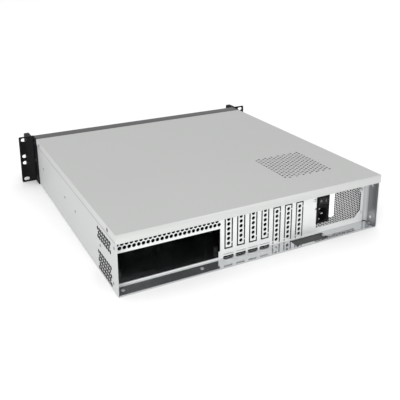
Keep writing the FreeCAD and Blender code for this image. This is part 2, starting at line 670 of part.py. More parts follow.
# Drive cage behind the front panel: two side walls and a roof, rows of screw slots in the walls
cage = newBody("drive_cage")
section = newSketch(cage, "CageSection", "XZ", "earPlane+frontDepth+cageDeep")
cageLeft, cageRight = "bayLeft+2", "bayLeft+2-cageWide-2*sheet"
outline(section, [(cageLeft, "sheet"), (cageLeft, "sheet+cageHigh"), (cageRight, "sheet+cageHigh"),
                  (cageRight, "sheet"), (cageRight + "-9", "sheet"), (cageRight + "-9", "2*sheet"),
                  (cageRight + "-sheet", "2*sheet"), (cageRight + "-sheet", "2*sheet+cageHigh"),
                  (cageLeft + "+sheet", "2*sheet+cageHigh"), (cageLeft + "+sheet", "2*sheet"),
                  (cageLeft + "+9", "2*sheet"), (cageLeft + "+9", "sheet")])
pad(cage, section, "cageDeep")
slots = newSketch(cage, "CageSlots", "YZ", cageLeft + "+9")
frame(slots, "earPlane+frontDepth+cageDeep*0.2", "sheet+14", "earPlane+frontDepth+cageDeep*0.3", "sheet+18")
cut = pocket(cage, slots, "cageWide+24")
pattern(cage, cut, [("H_Axis", "cageDeep*0.5", "2"), ("V_Axis", "25.4", "3")])

# Bay cover closing the drive opening in the front panel
cover = newBody("bay_cover")
section = newSketch(cover, "CoverFace", "XZ", "earPlane")
frame(section, "bayLeft-bayWide+gap", "bayLow+gap", "bayLeft-gap", "bayLow+bayHigh-gap")
pad(cover, section, "2.5")
lips = newSketch(cover, "CoverLips", "XZ", "earPlane+10")
frame(lips, "bayLeft-bayWide+gap", "bayLow+gap", "bayLeft-bayWide+gap+1.6", "bayLow+bayHigh-gap")
frame(lips, "bayLeft-gap-1.6", "bayLow+gap", "bayLeft-gap", "bayLow+bayHigh-gap")
pad(cover, lips, "10")
rounded(cover, "1", along("x", y=["earPlane-2.5"]))

# Stiffening channel from wall to wall under the lid
brace = newBody("cross_brace", "0", "bracePlace", "0")
section = newSketch(brace, "BraceSection", "YZ", "gap-halfInside")
outline(section, [("-braceWide/2", "braceTop"), ("braceWide/2", "braceTop"), ("braceWide/2", "braceTop-braceHigh"),
                  ("braceWide/2-sheet", "braceTop-braceHigh"), ("braceWide/2-sheet", "braceTop-sheet"),
                  ("sheet-braceWide/2", "braceTop-sheet"), ("sheet-braceWide/2", "braceTop-braceHigh"),
                  ("-braceWide/2", "braceTop-braceHigh")])
pad(brace, section, "2*(halfInside-gap)")

# Board standoffs on the tray floor, at the board's own hole places
posts = newBody("board_standoffs", "0", "0", "sheet")
section = newSketch(posts, "PostSection", "XY", "0")
for across in ("16.5", "163.8", "288.3"):
    for back in ("22.9", "177.8", "227.3"):
        ring(section, "windowLeft-%s" % across, "panelFront-%s" % back, "standoffWide/cos(30)", 6)
pad(posts, section, "standoffHigh")

# Power supply box: floor, walls and a perforated rear face; the roof is a cover of its own
supply = newBody("psu_housing", "0", "0", "0")
section = newSketch(supply, "SupplySection", "XZ", "panelFront")
frame(section, "-psuRight", "psuUnder", "-psuLeft", "psuTop-psuSheet")
pad(supply, section, "psuDeep")
hollow = newSketch(supply, "SupplyHollow", "XY", "psuTop+1")
frame(hollow, "psuSheet-psuRight", "psuFront+psuSheet", "-psuLeft-psuSheet", "panelFront-psuSheet")
pocket(supply, hollow, "psuHigh+1-psuSheet")
opening = newSketch(supply, "ModuleOpening", "XZ", "panelFront-2*psuSheet")
frame(opening, "1-moduleRight", "moduleLow+1", "-cutLeft-1", "moduleHigh-1")
pocket(supply, opening, "3*psuSheet")
vent = newSketch(supply, "SupplyVent", "XZ", "panelFront-2*psuSheet")
frame(vent, "-moduleRight-labelWide-grillePitch/2-grilleHole", "cutLow+1",
      "-moduleRight-labelWide-grillePitch/2", "psuTop-4")
cut = pocket(supply, vent, "3*psuSheet")
pattern(supply, cut, [("H_Axis", "-grillePitch", "grilleCount")])

roof = newBody("psu_cover")
section = newSketch(roof, "RoofSection", "XZ", "panelFront-gap")
outline(section, [("-psuRight-psuSheet", "psuTop-psuLip"), ("-psuRight", "psuTop-psuLip"),
                  ("-psuRight", "psuTop-psuSheet"), ("-psuLeft", "psuTop-psuSheet"),
                  ("-psuLeft", "psuTop-psuLip"), ("psuSheet-psuLeft", "psuTop-psuLip"),
                  ("psuSheet-psuLeft", "psuTop"), ("-psuRight-psuSheet", "psuTop")])
pad(roof, section, "psuDeep-gap")
fanFrame("psu_fan_frame", "psuFanSide", "-psuFanX", "panelFront-psuSheet", "psuFanZ", "hubWide*0.8")
impeller("psu_impeller", "psuFanSide", "-psuFanX", "panelFront-psuSheet", "psuFanZ", "hubWide*0.8", 5)

# Inlet and switch module set into the power supply's rear face
module = newBody("inlet_module")
section = newSketch(module, "ModuleFace", "XZ", "panelFront+moduleProud")
frame(section, "-moduleRight", "moduleLow", "-cutLeft", "moduleHigh")
pad(module, section, "moduleProud")
core = newSketch(module, "ModuleCore", "XZ", "panelFront")
frame(core, "1.4-moduleRight", "moduleLow+1.4", "-cutLeft-1.4", "moduleHigh-1.4")
pad(module, core, "moduleDeep")
socket = newSketch(module, "SocketHollow", "XZ", "panelFront+moduleProud-socketDeep")
socketLeft, socketTop = "-socketX", "socketLow+socketHigh"
outline(socket, [(socketLeft, "socketLow"), (socketLeft, socketTop), (socketLeft + "-socketWide+4", socketTop),
                 (socketLeft + "-socketWide", socketTop + "-4"), (socketLeft + "-socketWide", "socketLow+4"),
                 (socketLeft + "-socketWide+4", "socketLow")])
pocket(module, socket, "socketDeep+1")
well = newSketch(module, "RockerWell", "XZ", "panelFront+moduleProud-rockerDeep")
frame(well, "-moduleMid-rockerWide/2", "rockerLow", "rockerWide/2-moduleMid", "rockerLow+rockerHigh")
pocket(module, well, "rockerDeep+1")

pins = newBody("inlet_pins")
section = newSketch(pins, "PinSection", "XZ", "panelFront+moduleProud-3")
for x, z in (("2.8", "2.3"), ("2.8", "socketHigh-2.3"), ("8.3", "socketHigh/2")):
    frame(section, "-socketX-%s-2" % x, "socketLow+%s-1" % z, "2-socketX-%s" % x, "socketLow+%s+1" % z)
pad(pins, section, "socketDeep-3")

# Rocker that tips left and right about an upright axis through its middle
rocker = newBody("power_rocker", "-moduleMid", "panelFront+moduleProud", "rockerMid")
section = newSketch(rocker, "RockerSection", "XY", "rockerFit-rockerHigh/2")
half = "(rockerWide/2-rockerFit-rockerEnd)"
outline(section, [("-" + half, "rockerRise"), ("0", "0"), (half, "rockerRise*0.2"),
                  (half + "-1.6", "-rockerBody"), ("1.6-" + half, "-rockerBody")])
pad(rocker, section, "rockerHigh-2*rockerFit")

label = newBody("rating_label")
section = newSketch(label, "LabelSection", "XZ", "panelFront+0.2")
frame(section, "-moduleRight-labelWide", "labelLow", "-moduleRight-0.2", "labelLow+labelHigh")
pad(label, section, "0.2")

# Front controls: board, buttons, light pipes and port shells
board = newBody("control_board")
section = newSketch(board, "BoardSection", "XZ", "earPlane+boardBack+1.6")
frame(section, "controlX-boardWide/2", "portZ-12", "controlX+boardWide/2", "controlZ+10")
pad(board, section, "1.6")
for label, wide, z in (("power_button", "buttonWide", "controlZ"), ("reset_button", "resetWide", "resetZ")):
    button = newBody(label, "controlX", "earPlane", z)
    section = newSketch(button, label + "Cap", "XZ", "boardBack-buttonTravel-gap")
    ring(section, "0", "0", wide, roundSides)
    pad(button, section, "boardBack-buttonTravel-gap+frontSheet+buttonProud")
pipes = newBody("light_pipes")
section = newSketch(pipes, "PipeSection", "XZ", "earPlane+boardBack")
for way in ("-", "+"):
    ring(section, "controlX%slightSpread" % way, "resetZ", "lightWide-0.2", roundSides)
pad(pipes, section, "boardBack+frontSheet+0.5")
shells = newBody("port_shells")
section = newSketch(shells, "ShellSection", "XZ", "earPlane+boardBack")
for way in ("-", "+"):
    middle = "controlX%sportSpread" % way
    frame(section, middle + "-portWide/2+0.3", "portZ-portHigh/2+0.3", middle + "+portWide/2-0.3", "portZ+portHigh/2-0.3")
pad(shells, section, "boardBack+frontSheet")
hollow = newSketch(shells, "ShellHollow", "XZ", "earPlane-frontSheet-1")
for way in ("-", "+"):
    middle = "controlX%sportSpread" % way
    frame(hollow, middle + "-portWide/2+0.8", "portZ-portHigh/2+0.8", middle + "+portWide/2-0.8", "portZ+portHigh/2-2.6")
pocket(shells, hollow, "boardBack")

# Low-head screws on the lid flanges and the ears, pan heads on the rear face
for name, wide, places in (
        ("lid_screws", "screwWide", [("lidFront+lidScrewFront", "caseHeight-lidScrewDown"), ("rearEdge-lidScrewRear", "caseHeight-lidScrewDown")]),
        ("ear_screws", "screwWide", [("earPlane+13", "caseHeight/2+%s" % z) for z in ("33", "0", "-33")])):
    screws = newBody(name)
    base = "halfBody" if name == "lid_screws" else "halfTray+earSheet"
    for side, at in (("Left", base), ("Right", "-(%s)-flatHead" % base)):
        section = newSketch(screws, name + side, "YZ", at)
        for y, z in places:
            ring(section, y, z, wide, 10)
        pad(screws, section, "flatHead")
psuScrews = newBody("psu_screws")
section = newSketch(psuScrews, "PsuScrewSection", "XZ", "panelBack+screwHigh")
for x, z in (("psuLeft+5.6", "57.2"), ("psuRight-1.4-screwWide/2", "57.7"), ("psuRight-0.5-screwWide/2", "18.1")):
    ring(section, "-(%s)" % x, z, "screwWide", 10)
pad(psuScrews, section, "screwHigh")

doc.recompute()
os.makedirs("parts", exist_ok=True)
for item in doc.Objects:
    if {"Invalid", "Error"} & set(item.State):
        raise ValueError(item.Name + " failed: " + str(item.State))
for item in doc.Objects:
    if item.TypeId in ("PartDesign::Body", "Part::Feature"):
        if item.Shape.isNull() or not item.Shape.isValid():
            raise ValueError(item.Label + " has no sound shape")
        item.Shape.exportStep("parts/%s.step" % item.Label)
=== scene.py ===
import json
import math
import bpy
from mathutils import Matrix, Vector


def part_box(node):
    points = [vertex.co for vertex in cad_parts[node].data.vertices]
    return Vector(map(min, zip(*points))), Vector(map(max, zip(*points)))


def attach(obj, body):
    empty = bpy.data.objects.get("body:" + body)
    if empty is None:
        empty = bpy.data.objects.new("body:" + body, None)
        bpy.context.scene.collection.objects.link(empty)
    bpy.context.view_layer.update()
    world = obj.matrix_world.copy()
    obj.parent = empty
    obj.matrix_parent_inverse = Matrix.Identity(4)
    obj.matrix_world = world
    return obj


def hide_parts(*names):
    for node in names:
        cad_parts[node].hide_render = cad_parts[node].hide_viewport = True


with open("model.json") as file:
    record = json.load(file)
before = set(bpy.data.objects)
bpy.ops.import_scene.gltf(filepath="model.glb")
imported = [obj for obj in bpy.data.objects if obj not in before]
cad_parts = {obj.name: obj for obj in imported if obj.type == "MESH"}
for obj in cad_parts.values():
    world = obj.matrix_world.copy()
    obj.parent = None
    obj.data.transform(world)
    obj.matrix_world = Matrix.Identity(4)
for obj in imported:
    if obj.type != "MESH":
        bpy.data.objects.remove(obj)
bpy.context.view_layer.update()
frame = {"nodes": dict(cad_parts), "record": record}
nodes = frame["nodes"]
mm = 0.001
print("frame loaded:", len(nodes), "nodes")

# places read from the frame, in metres
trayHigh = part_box("chassis_tray")[1]
lidLow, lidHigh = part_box("top_cover")
psuLow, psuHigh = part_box("psu_housing")
moduleLow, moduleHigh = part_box("inlet_module")

bevelAngle = 40  # edges that turn more than this are softened


def deselectAll():
    if bpy.context.mode != "OBJECT":
        bpy.ops.object.mode_set(mode="OBJECT")
    bpy.ops.object.select_all(action="DESELECT")


def pick(piece):
    deselectAll()
    piece.select_set(True)
    bpy.context.view_layer.objects.active = piece


def applyModifier(piece, kind, **settings):
    pick(piece)
    modifier = piece.modifiers.new(kind.title(), kind)
    for name, setting in settings.items():
        setattr(modifier, name, setting)
    bpy.ops.object.modifier_apply(modifier=modifier.name)


def weld(piece):
    pick(piece)
    bpy.ops.object.mode_set(mode="EDIT")
    bpy.ops.mesh.select_all(action="SELECT")
    bpy.ops.mesh.remove_doubles(threshold=0.01 * mm)
    bpy.ops.mesh.dissolve_limited(angle_limit=math.radians(0.5))
    bpy.ops.object.mode_set(mode="OBJECT")


def copyOf(node, name):  # a welded copy of a CAD node's mesh
    mesh = nodes[node].data.copy()
    piece = bpy.data.objects.new(name, mesh)
    bpy.context.scene.collection.objects.link(piece)
    weld(piece)
    return piece


def settle(piece):  # the piece's place goes into its mesh
    pick(piece)
    bpy.ops.object.transform_apply(location=True, rotation=True, scale=True)


def smooth(piece, angle=35):
    pick(piece)
    bpy.ops.object.shade_smooth_by_angle(angle=math.radians(angle))


def joined(pieces, name):
    deselectAll()
    for piece in pieces:
        piece.select_set(True)
    bpy.context.view_layer.objects.active = pieces[0]
    bpy.ops.object.join()
    whole = bpy.context.view_layer.objects.active
    whole.name = name
    return whole


def dress(piece, material, body, slot, *replaced):
    piece.data.materials.clear()
    piece.data.materials.append(material)
    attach(piece, body)
    if replaced:
        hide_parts(*replaced)
    return piece


def dressFaces(piece, material, wanted):  # a second finish on the faces that the test picks
    piece.data.materials.append(material)
    for face in piece.data.polygons:
        if wanted(face.center, face.normal):
            face.material_index = len(piece.data.materials) - 1


def again(piece, name, move, turn=None):  # another one with its own mesh
    other = piece.copy()
    other.data = piece.data.copy()
    other.name = name
    bpy.context.scene.collection.objects.link(other)
    if turn is not None:
        other.data.transform(turn)
    other.data.transform(Matrix.Translation(move))
    return other


def disc(sides, radius, at, deep, axis):  # a closed round prism from at, along the axis
    deselectAll()
    bpy.ops.mesh.primitive_circle_add(vertices=sides, radius=radius, fill_type="NGON")
    piece = bpy.context.active_object
    bpy.ops.object.mode_set(mode="EDIT")
    bpy.ops.mesh.select_all(action="SELECT")
    bpy.ops.mesh.extrude_region_move(TRANSFORM_OT_translate={"value": (0, 0, deep)})
    bpy.ops.mesh.select_all(action="SELECT")
    bpy.ops.mesh.normals_make_consistent(inside=False)
    bpy.ops.object.mode_set(mode="OBJECT")
    turn = {"x": Matrix.Rotation(math.pi / 2, 4, "Y"), "y": Matrix.Rotation(-math.pi / 2, 4, "X"),
            "z": Matrix.Identity(4)}[axis]
    piece.data.transform(Matrix.Translation(at) @ turn)
    return piece


def block(low, high):  # a closed box between two corners
    deselectAll()
    bpy.ops.mesh.primitive_cube_add(size=1)
    piece = bpy.context.active_object
    piece.data.transform(Matrix.Translation((low + high) / 2) @ Matrix.Diagonal((*(high - low), 1)))
    return piece


def cutFrom(piece, cutter):
    applyModifier(piece, "BOOLEAN", object=cutter, operation="DIFFERENCE", solver="EXACT")
    bpy.data.objects.remove(cutter)


def bisect(piece, at, way, fill=False, drop=True):  # splits at a plane, may drop what is past it
    pick(piece)
    bpy.ops.object.mode_set(mode="EDIT")
    bpy.ops.mesh.select_mode(type="VERT")
    bpy.ops.mesh.select_all(action="SELECT")
    bpy.ops.mesh.bisect(plane_co=at, plane_no=way, use_fill=fill, clear_outer=drop)
    bpy.ops.mesh.select_all(action="DESELECT")
    bpy.ops.object.mode_set(mode="OBJECT")


# shared surface effect: broad tone, fine grain and a little cloudiness
def makeGrainGroup():
    group = bpy.data.node_groups.new("sheetGrain", "ShaderNodeTree")
    face = group.interface
    for name, kind, start in (
            ("Colour", "NodeSocketColor", (0.5, 0.5, 0.5, 1)), ("Tone", "NodeSocketFloat", 0.05),
            ("Broad Scale", "NodeSocketFloat", 9.0), ("Grain Scale", "NodeSocketFloat", 900.0),
            ("Rough Low", "NodeSocketFloat", 0.4), ("Rough High", "NodeSocketFloat", 0.5),
            ("Stretch", "NodeSocketVector", (1, 1, 1))):
        socket = face.new_socket(name=name, in_out="INPUT", socket_type=kind)
        socket.default_value = start
    for name, kind in (("Colour", "NodeSocketColor"), ("Roughness", "NodeSocketFloat"),
                       ("Height", "NodeSocketFloat")):
        face.new_socket(name=name, in_out="OUTPUT", socket_type=kind)
    add = group.nodes.new
    link = group.links.new
    gives, takes = add("NodeGroupInput"), add("NodeGroupOutput")
    place = add("ShaderNodeTexCoord")
    stretch = add("ShaderNodeVectorMath")
    stretch.operation = "MULTIPLY"
    link(place.outputs["Object"], stretch.inputs[0])
    link(gives.outputs["Stretch"], stretch.inputs[1])
    broad, grain = add("ShaderNodeTexNoise"), add("ShaderNodeTexNoise")
    broad.inputs["Detail"].default_value = 3
    grain.inputs["Detail"].default_value = 2
    link(place.outputs["Object"], broad.inputs["Vector"])
    link(stretch.outputs[0], grain.inputs["Vector"])
    link(gives.outputs["Broad Scale"], broad.inputs["Scale"])
    link(gives.outputs["Grain Scale"], grain.inputs["Scale"])
    both = add("ShaderNodeMath")
    both.operation = "ADD"
    link(broad.outputs["Fac"], both.inputs[0])
    link(grain.outputs["Fac"], both.inputs[1])
    centred = add("ShaderNodeMath")
    centred.operation = "SUBTRACT"
    centred.inputs[1].default_value = 1.0
    link(both.outputs[0], centred.inputs[0])
    swing = add("ShaderNodeMath")
    swing.operation = "MULTIPLY_ADD"
    swing.inputs[2].default_value = 1.0
    link(centred.outputs[0], swing.inputs[0])
    link(gives.outputs["Tone"], swing.inputs[1])
    shade = add("ShaderNodeVectorMath")
    shade.operation = "SCALE"
    link(gives.outputs["Colour"], shade.inputs[0])
    link(swing.outputs[0], shade.inputs["Scale"])
    rough = add("ShaderNodeMapRange")
    link(grain.outputs["Fac"], rough.inputs["Value"])
    link(gives.outputs["Rough Low"], rough.inputs["To Min"])
    link(gives.outputs["Rough High"], rough.inputs["To Max"])
    link(shade.outputs[0], takes.inputs["Colour"])
    link(rough.outputs["Result"], takes.inputs["Roughness"])
    link(grain.outputs["Fac"], takes.inputs["Height"])
    return group


grainGroup = makeGrainGroup()


def surface(name, colour, metallic, rough, tone=0.05, broad=9.0, grain=900.0, stretch=(1, 1, 1),
            bump=0.05, bumpDepth=0.04 * mm, specular=0.5):
    material = bpy.data.materials.new(name)
    material.use_nodes = True
    tree = material.node_tree
    shader = tree.nodes["Principled BSDF"]
    effect = tree.nodes.new("ShaderNodeGroup")
    effect.node_tree = grainGroup
    effect.inputs["Colour"].default_value = (*colour, 1)
    effect.inputs["Tone"].default_value = tone
    effect.inputs["Broad Scale"].default_value = broad
    effect.inputs["Grain Scale"].default_value = grain
    effect.inputs["Rough Low"].default_value = rough[0]
    effect.inputs["Rough High"].default_value = rough[1]
    effect.inputs["Stretch"].default_value = stretch
    tree.links.new(effect.outputs["Colour"], shader.inputs["Base Color"])
    tree.links.new(effect.outputs["Roughness"], shader.inputs["Roughness"])
    dent = tree.nodes.new("ShaderNodeBump")
    dent.inputs["Strength"].default_value = bump
    dent.inputs["Distance"].default_value = bumpDepth
    tree.links.new(effect.outputs["Height"], dent.inputs["Height"])
    tree.links.new(dent.outputs["Normal"], shader.inputs["Normal"])
    shader.inputs["Metallic"].default_value = metallic
    shader.inputs["Specular IOR Level"].default_value = specular
    return material


lidPaint = surface("lidPaint", (0.385, 0.391, 0.385), 0.0, (0.55, 0.62), tone=0.05, broad=5,
                   grain=1500, bump=0.15, specular=0.15)
wallPaint = surface("wallPaint", (0.36, 0.365, 0.365), 0.0, (0.42, 0.5), tone=0.03, broad=6,
                    grain=1400, bump=0.12)
# painted shadow: a dark strip on the side walls just under the lid's flange stands in for the shade
# of the gap there
paintedSeamShadow = surface("paintedSeamShadow", (0.10, 0.102, 0.102), 0.0, (0.5, 0.6), tone=0.03, broad=6,
                    grain=1400)
# dark gray for the lid screws and the wall rivets; on the rivets it is painted shade, standing in
# for the shade of small pits
spotGray = surface("spotGray", (0.11, 0.11, 0.11), 0.3, (0.4, 0.5), tone=0.06, grain=900)
trayZinc = surface("trayZinc", (0.60, 0.61, 0.62), 1.0, (0.12, 0.2), tone=0.06, broad=30,
                   grain=900, bump=0.05)
floorZinc = surface("floorZinc", (0.62, 0.63, 0.64), 0.92, (0.10, 0.16), tone=0.10, broad=25,
                    grain=500, stretch=(0.15, 1, 1), bump=0.05)
panelZinc = surface("panelZinc", (0.66, 0.67, 0.67), 0.4, (0.35, 0.45), tone=0.03, broad=18,
                    grain=700)
# painted shade: a darker copy of the tray's zinc for the inward faces of the side walls and for the
# wall bracket
shadedWallZinc = surface("shadedWallZinc", (0.30, 0.305, 0.31), 1.0, (0.26, 0.34), tone=0.08, broad=25,
                   grain=500)
# painted light: a lighter copy of the bracket's zinc for its strip beside the panel
litStripZinc = surface("litStripZinc", (0.36, 0.365, 0.37), 0.4, (0.35, 0.45), tone=0.04, broad=18,
                    grain=700)
innerZinc = surface("innerZinc", (0.45, 0.46, 0.47), 0.85, (0.2, 0.3), tone=0.08, broad=25,
                    grain=500)
frontPaint = surface("frontPaint", (0.07, 0.07, 0.072), 0.0, (0.45, 0.55), tone=0.06, grain=1800,
                     bump=0.2, specular=0.25)
earPaint = surface("earPaint", (0.003, 0.003, 0.0035), 0.0, (0.45, 0.55), tone=0.08, grain=1800,
                   bump=0.25, specular=0.12)
# black finish of the moulded plastic pieces; also painted shade on the walls of the side vent holes
blackPlasticAndShade = surface("blackPlasticAndShade", (0.004, 0.004, 0.0045), 0.0, (0.35, 0.5), tone=0.1,
                       grain=1500, bump=0.2, specular=0.1)
glossBlack = surface("glossBlack", (0.006, 0.006, 0.007), 0.0, (0.15, 0.22), tone=0.1, grain=600,
                     specular=0.25)
fanBlack = surface("fanBlack", (0.006, 0.006, 0.0065), 0.0, (0.4, 0.5), tone=0.1, grain=1500,
                   specular=0.15)
# painted shade for the supply: the edge faces along its cut-out and the box's inner faces
supplyPaintedShade = surface("supplyPaintedShade", (0.018, 0.018, 0.019), 0.2, (0.4, 0.5), tone=0.1, broad=25,
                     grain=600, specular=0.2)
supplyZinc = surface("supplyZinc", (0.84, 0.85, 0.85), 0.3, (0.3, 0.4), tone=0.05, broad=25,
                     grain=600)
labelPaper = surface("labelPaper", (0.86, 0.86, 0.85), 0.0, (0.4, 0.5), tone=0.02, broad=60,
                     grain=1600)
markGray = surface("markGray", (0.22, 0.22, 0.22), 0.0, (0.4, 0.5), tone=0.02, broad=60,
                   grain=1600)
pinMetal = surface("pinMetal", (0.42, 0.41, 0.39), 0.9, (0.25, 0.35), tone=0.04, grain=800)
blackZinc = surface("blackZinc", (0.03, 0.03, 0.032), 0.5, (0.3, 0.4), tone=0.1, grain=900)
boardGreen = surface("boardGreen", (0.02, 0.12, 0.05), 0.0, (0.3, 0.45), tone=0.15, broad=90,
                     grain=900)
screwZinc = surface("screwZinc", (0.68, 0.69, 0.70), 0.9, (0.25, 0.35), tone=0.06, grain=900)
portMetal = surface("portMetal", (0.75, 0.75, 0.76), 1.0, (0.15, 0.25), tone=0.04, grain=700)
pipeClear = surface("pipeClear", (0.75, 0.82, 0.84), 0.0, (0.1, 0.2), tone=0.02, grain=400)

# CAD sheets that stay: a better finish on each
keep = {"fan_wall": innerZinc, "drive_cage": innerZinc, "cross_brace": innerZinc,
        "board_standoffs": blackZinc, "psu_cover": innerZinc, "control_board": boardGreen,
        "port_shells": portMetal, "light_pipes": pipeClear, "inlet_pins": pinMetal,
        "rating_label": labelPaper}
for node, material in keep.items():
    for index in range(len(nodes[node].material_slots)):
        nodes[node].material_slots[index].material = material
print("finishes made")

# folded sheets painted outside, bare zinc inside; the lid's rear flange hangs a little lower
sheet = {"thick": 1.0 * mm, "reach": 0.2 * mm, "bend": 1.2 * mm, "flangeMore": 1.4 * mm,
         "seam": 2.7 * mm, "lidAngle": 3}
lid = copyOf("top_cover", "lidSheet")
flangeFront = lidHigh.y - sheet["thick"]
bisect(lid, (0, flangeFront - sheet["reach"], 0), (0, 1, 0), drop=False)
for vertex in lid.data.vertices:
    if vertex.co.z < lidLow.z + sheet["reach"] and vertex.co.y > flangeFront - sheet["reach"] / 2:
        vertex.co.z -= sheet["flangeMore"]
dress(lid, lidPaint, "case", "lid_paint", "top_cover")
inset = sheet["thick"] + sheet["reach"]
innerTop, innerSide, innerRear = lidHigh.z - inset, lidHigh.x - inset, lidHigh.y - inset
dressFaces(lid, innerZinc, lambda at, way: (way.z < -0.5 and at.z < innerTop + 2 * sheet["reach"]
                                            and abs(at.x) < innerSide and at.y < innerRear))
smooth(lid, sheet["lidAngle"])

# side vents: the tray's four-sided holes are closed and cut again as round ones
vents = {"sides": 12, "radius": 3.12 * mm, "pitch": 7.0 * mm, "row": 6.062 * mm, "columns": 8,
         "rear": 216.5 * mm, "groups": ((6.3 * mm, 5), (53.4 * mm, 3)), "rim": 3.2 * mm,
         "past": 3 * mm, "edgeY": (160 * mm, 220 * mm), "edgeZ": (2 * mm, 84 * mm)}
tray = copyOf("chassis_tray", "traySheet")
firstLow = vents["groups"][0][0]
lastLow, lastRows = vents["groups"][-1]
frontmost = vents["rear"] - (vents["columns"] - 1) * vents["pitch"]
topmost = lastLow + (lastRows - 1) * vents["row"]
rim = vents["rim"]
plate = block(Vector((trayHigh.x - sheet["thick"], frontmost - rim, firstLow - rim)),
              Vector((trayHigh.x, vents["rear"] + rim, topmost + rim)))
applyModifier(tray, "BOOLEAN", object=plate, operation="UNION", solver="EXACT")
bpy.data.objects.remove(plate)
weld(tray)
ventStart = Vector((trayHigh.x - vents["past"], vents["rear"], 0))
ventCutter = disc(vents["sides"], vents["radius"], ventStart, 2 * vents["past"], "x")
cutters = []
for low, rows in vents["groups"]:
    for row in range(rows):
        for step in range(vents["columns"] - row % 2):
            back = vents["pitch"] * (step + row % 2 / 2)
            move = Vector((0, -back, low + row * vents["row"]))
            cutters.append(again(ventCutter, "ventHole", move))
bpy.data.objects.remove(ventCutter)
cutFrom(tray, joined(cutters, "ventCutters"))
seamShadowLow = lidLow.z - sheet["seam"]
for height in (seamShadowLow, lidLow.z):
    bisect(tray, (0, 0, height), (0, 0, 1), drop=False)
dress(tray, trayZinc, "case", "tray_steel", "chassis_tray")
outerSide = trayHigh.x - sheet["reach"]
dressFaces(tray, wallPaint, lambda at, way: (abs(way.x) > 0.2 and at.x * way.x > 0
                                             and abs(at.x) > outerSide - sheet["bend"]))
# painted shadow: the dark strip under the lid's flange, in place of the shade of the gap between
# flange and wall
dressFaces(tray, paintedSeamShadow, lambda at, way: abs(at.x) > outerSide and seamShadowLow < at.z < lidLow.z)
# painted shade: the inward faces of the side walls get the darker copy of the zinc
dressFaces(tray, shadedWallZinc, lambda at, way: abs(way.x) > 0.9 and at.x * way.x < 0)
# painted shade: the walls of the side vent holes get the black finish, standing in for the shade
# inside the holes
(edgeFront, edgeRear), (edgeLow, edgeHigh) = vents["edgeY"], vents["edgeZ"]
dressFaces(tray, blackPlasticAndShade, lambda at, way: (
    abs(way.x) < 0.1 and at.x > trayHigh.x - sheet["thick"]
    and edgeLow < at.z < edgeHigh and edgeFront < at.y < edgeRear))
smooth(tray)

# softened copies of the coated and moulded pieces: finish, slot and bevel in mm
soft = (((frontPaint, "front_paint", 0.25), ("front_panel",)),
        ((earPaint, "ear_paint", 0.3), ("rack_ear_left", "rack_ear_right")),
        ((earPaint, "handle_paint", 1.6), ("handle_left", "handle_right")),
        ((blackPlasticAndShade, "cover_plastic", 0.4), ("bay_cover",)),
        ((blackPlasticAndShade, "module_plastic", 0.25), ("inlet_module",)),
        ((glossBlack, "rocker_plastic", 0.4), ("power_rocker",)),
        ((glossBlack, "button_plastic", 0.5), ("power_button",)),
        ((glossBlack, "button_plastic", 0.3), ("reset_button",)),
        ((fanBlack, "fan_plastic", 0.3),
         ("fan_frame_1", "fan_frame_2", "fan_frame_3", "psu_fan_frame")),
        ((fanBlack, "fan_plastic", 0.2),
         ("impeller_1", "impeller_2", "impeller_3", "psu_impeller")))
bodies = frame["record"]["behaviour"]["bodies"]
bodyOf = {node: body for body, members in bodies.items() for node in members}
for (material, slot, width), members in soft:
    for node in members:
        words = node.split("_")
        piece = copyOf(node, words[0] + "".join(word.title() for word in words[1:]) + "Soft")
        applyModifier(piece, "BEVEL", width=width * mm, segments=2, limit_method="ANGLE",
                      angle_limit=math.radians(bevelAngle), use_clamp_overlap=True)
        smooth(piece)
        dress(piece, material, bodyOf[node], slot, node)
print("softened pieces made")

# rear panel: its four-sided holes become round
holes = {"sides": 20, "rowRadius": 2.78 * mm, "coverRadius": 2.83 * mm, "rowPitch": 6.63 * mm,
         "rowStart": 55.8 * mm, "rowLow": 55.2 * mm, "rowRise": 5.74 * mm, "rowCounts": (24, 23),
         "slotX": 40.4 * mm, "slotPitch": 20.32 * mm, "slotCount": 7, "tallCount": 4,
         "inSlot": 7, "coverPitch": 7.45 * mm, "tallLow": 23.1 * mm, "shortLow": 9.4 * mm,
         "before": 3 * mm, "deep": 5 * mm}
edges = {"floorTop": 2.1 * mm, "floorFront": 0.2 * mm, "sill": (2.05 * mm, 2.5 * mm),
         "supplyCut": (-201 * mm, -185 * mm)}
panelFace = psuHigh.y + sheet["thick"]
panel = copyOf("rear_panel", "rearPanelRound")
cutters = []
cutStart = Vector((0, panelFace - holes["before"], 0))
rowCutter = disc(holes["sides"], holes["rowRadius"], cutStart, holes["deep"], "y")
coverCutter = disc(holes["sides"], holes["coverRadius"], cutStart, holes["deep"], "y")
for level, count in enumerate(holes["rowCounts"]):
    for step in range(count):
        across = holes["rowStart"] + holes["rowPitch"] * (step + level / 2)
        move = Vector((across, 0, holes["rowLow"] + level * holes["rowRise"]))
        cutters.append(again(rowCutter, "rowHole", move))
for slot in range(holes["slotCount"]):
    across = holes["slotX"] - slot * holes["slotPitch"]
    low = holes["tallLow"] if slot < holes["tallCount"] else holes["shortLow"]
    for step in range(holes["inSlot"]):
        move = Vector((across, 0, low + step * holes["coverPitch"]))
        cutters.append(again(coverCutter, "coverHole", move))
bpy.data.objects.remove(rowCutter)
bpy.data.objects.remove(coverCutter)
cutFrom(panel, joined(cutters, "holeCutter"))
dress(panel, panelZinc, "case", "panel_steel", "rear_panel")
recessFront = panelFace + edges["floorFront"]
dressFaces(panel, floorZinc, lambda at, way: at.z < edges["floorTop"] and at.y > recessFront)
sillLow, sillHigh = edges["sill"]
dressFaces(panel, blackPlasticAndShade, lambda at, way: way.z > 0.5 and sillLow < at.z < sillHigh)
